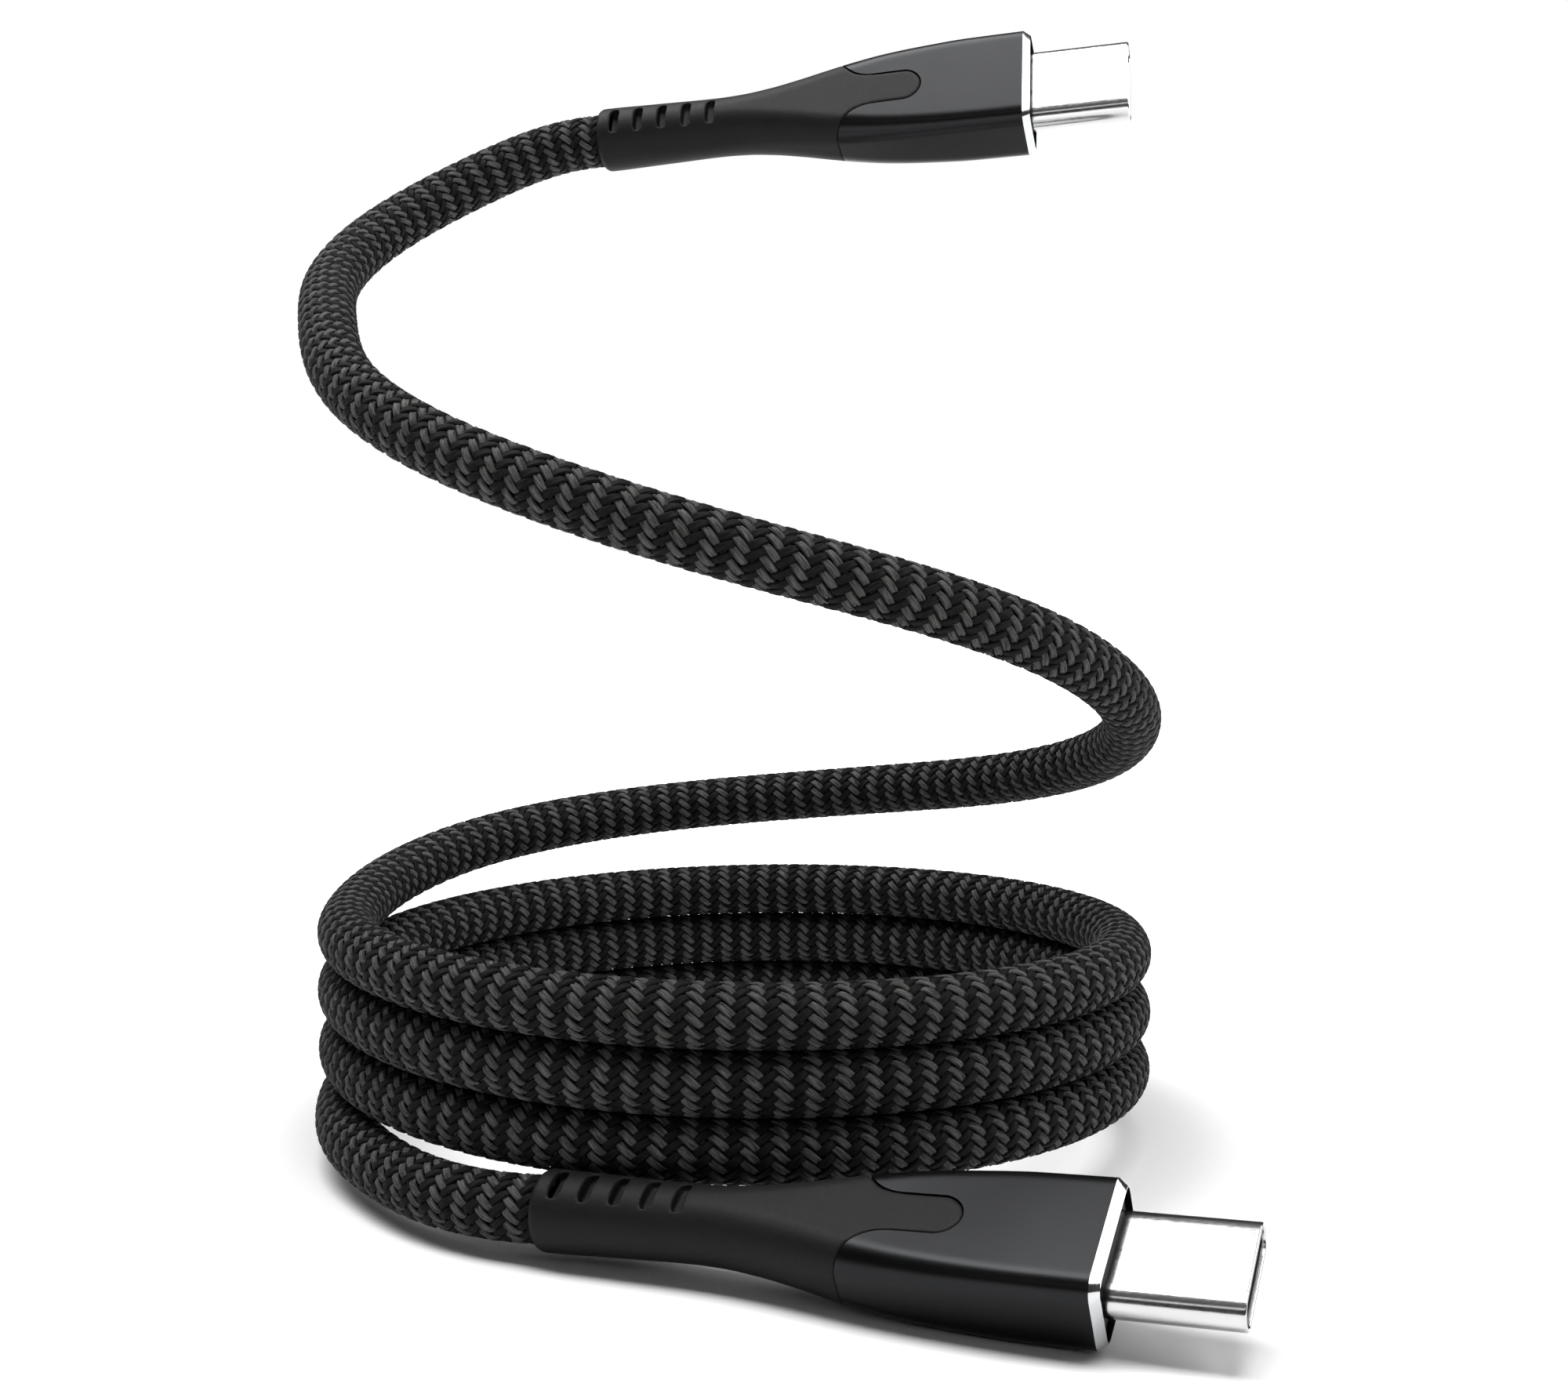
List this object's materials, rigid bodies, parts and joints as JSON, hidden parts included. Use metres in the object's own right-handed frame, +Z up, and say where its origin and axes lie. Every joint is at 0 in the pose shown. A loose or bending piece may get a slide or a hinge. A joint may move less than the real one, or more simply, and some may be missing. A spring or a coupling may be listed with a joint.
{
  "type": "charging cable",
  "caption": "Braided charging cable with a reversible plug on each end, wound in a self-holding stack with one end drawn up like a spring.",
  "frame": {"origin": "on the standing surface, under the middle of the box round the two plugs", "axes": "+Z up, +X roughly the way both plugs point, -Y the front, where the lower plug lies"},
  "size_m": [0.0708, 0.0905, 0.0927],
  "materials": {
    "braided_jacket": "twill-woven charcoal and black yarn",
    "boot_rubber": "fine matte moulding",
    "anodised_aluminium": "dark bead-blasted anodising with a polished front edge",
    "nickel_plate": "bright nickel plate",
    "black_plastic": "black moulded plastic",
    "contact_gold": "gold-plated spring contacts",
    "spring_steel": "stamped stainless sheet",
    "circuit_card": "green solder mask",
    "red_insulation": "extruded insulation",
    "green_insulation": "extruded insulation",
    "blue_insulation": "extruded insulation",
    "white_insulation": "natural moulded plastic",
    "black_insulation": "extruded insulation"
  },
  "bodies": {
    "root": {"free_stretch": "braided_jacket", "wound_turns": "braided_jacket", "lower_lead": "braided_jacket"},
    "upper_plug": {"upper_boot": "boot_rubber", "upper_housing": "anodised_aluminium", "upper_front_insert": "black_plastic", "upper_plug_shell": "nickel_plate", "upper_contact_carrier": "black_plastic", "upper_contacts_top": "contact_gold", "upper_contacts_bottom": "contact_gold", "upper_mid_plate": "spring_steel", "upper_shield_can": "spring_steel", "upper_card": "circuit_card", "upper_marker_chip": "black_plastic", "upper_crimp_ferrule": "spring_steel", "upper_cable_end": "black_plastic", "upper_wire_organiser": "white_insulation", "upper_wire_power": "red_insulation", "upper_wire_data_plus": "green_insulation", "upper_wire_config": "blue_insulation", "upper_wire_data_minus": "white_insulation", "upper_wire_ground": "black_insulation"},
    "upper_latch_left": {"upper_latch_left": "spring_steel"},
    "upper_latch_right": {"upper_latch_right": "spring_steel"},
    "lower_plug": {"lower_boot": "boot_rubber", "lower_housing": "anodised_aluminium", "lower_front_insert": "black_plastic", "lower_plug_shell": "nickel_plate", "lower_contact_carrier": "black_plastic", "lower_contacts_top": "contact_gold", "lower_contacts_bottom": "contact_gold", "lower_mid_plate": "spring_steel", "lower_shield_can": "spring_steel", "lower_card": "circuit_card", "lower_marker_chip": "black_plastic", "lower_crimp_ferrule": "spring_steel", "lower_cable_end": "black_plastic", "lower_wire_organiser": "white_insulation", "lower_wire_power": "red_insulation", "lower_wire_data_plus": "green_insulation", "lower_wire_config": "blue_insulation", "lower_wire_data_minus": "white_insulation", "lower_wire_ground": "black_insulation"},
    "lower_latch_left": {"lower_latch_left": "spring_steel"},
    "lower_latch_right": {"lower_latch_right": "spring_steel"}
  },
  "joints": [
    {"name": "upper_plug_nod", "type": "hinge", "parent": "root", "child": "upper_plug", "pos_m": [-0.01739, 0.0381, 0.08482], "axis": [0.2223, 0.975, 0], "range_deg": [-15, 15], "stiffness_Nm_per_rad": 0.05, "deforming": ["upper_boot"]},
    {"name": "lower_plug_swing", "type": "hinge", "parent": "root", "child": "lower_plug", "pos_m": [-0.01734, -0.02307, 0.00348], "axis": [0, 0, 1], "range_deg": [-15, 5], "stiffness_Nm_per_rad": 0.05, "deforming": ["lower_boot"]},
    {"name": "upper_latch_left_flex", "type": "hinge", "parent": "upper_plug", "child": "upper_latch_left", "pos_m": [0.01217, 0.03307, 0.08962], "axis": [-0.225, -0.8185, 0.5286], "range_deg": [0, 1.2], "stiffness_Nm_per_rad": 0.5},
    {"name": "upper_latch_right_flex", "type": "hinge", "parent": "upper_plug", "child": "upper_latch_right", "pos_m": [0.0118, 0.02973, 0.08429], "axis": [0.225, 0.8185, -0.5286], "range_deg": [0, 1.2], "stiffness_Nm_per_rad": 0.5},
    {"name": "lower_latch_left_flex", "type": "hinge", "parent": "lower_plug", "child": "lower_latch_left", "pos_m": [0.01173, -0.0315, 0.00591], "axis": [-0.19, -0.3963, 0.8983], "range_deg": [0, 1.2], "stiffness_Nm_per_rad": 0.5},
    {"name": "lower_latch_right_flex", "type": "hinge", "parent": "lower_plug", "child": "lower_latch_right", "pos_m": [0.00974, -0.0368, 0.00315], "axis": [0.19, 0.3963, -0.8983], "range_deg": [0, 1.2], "stiffness_Nm_per_rad": 0.5}
  ]
}
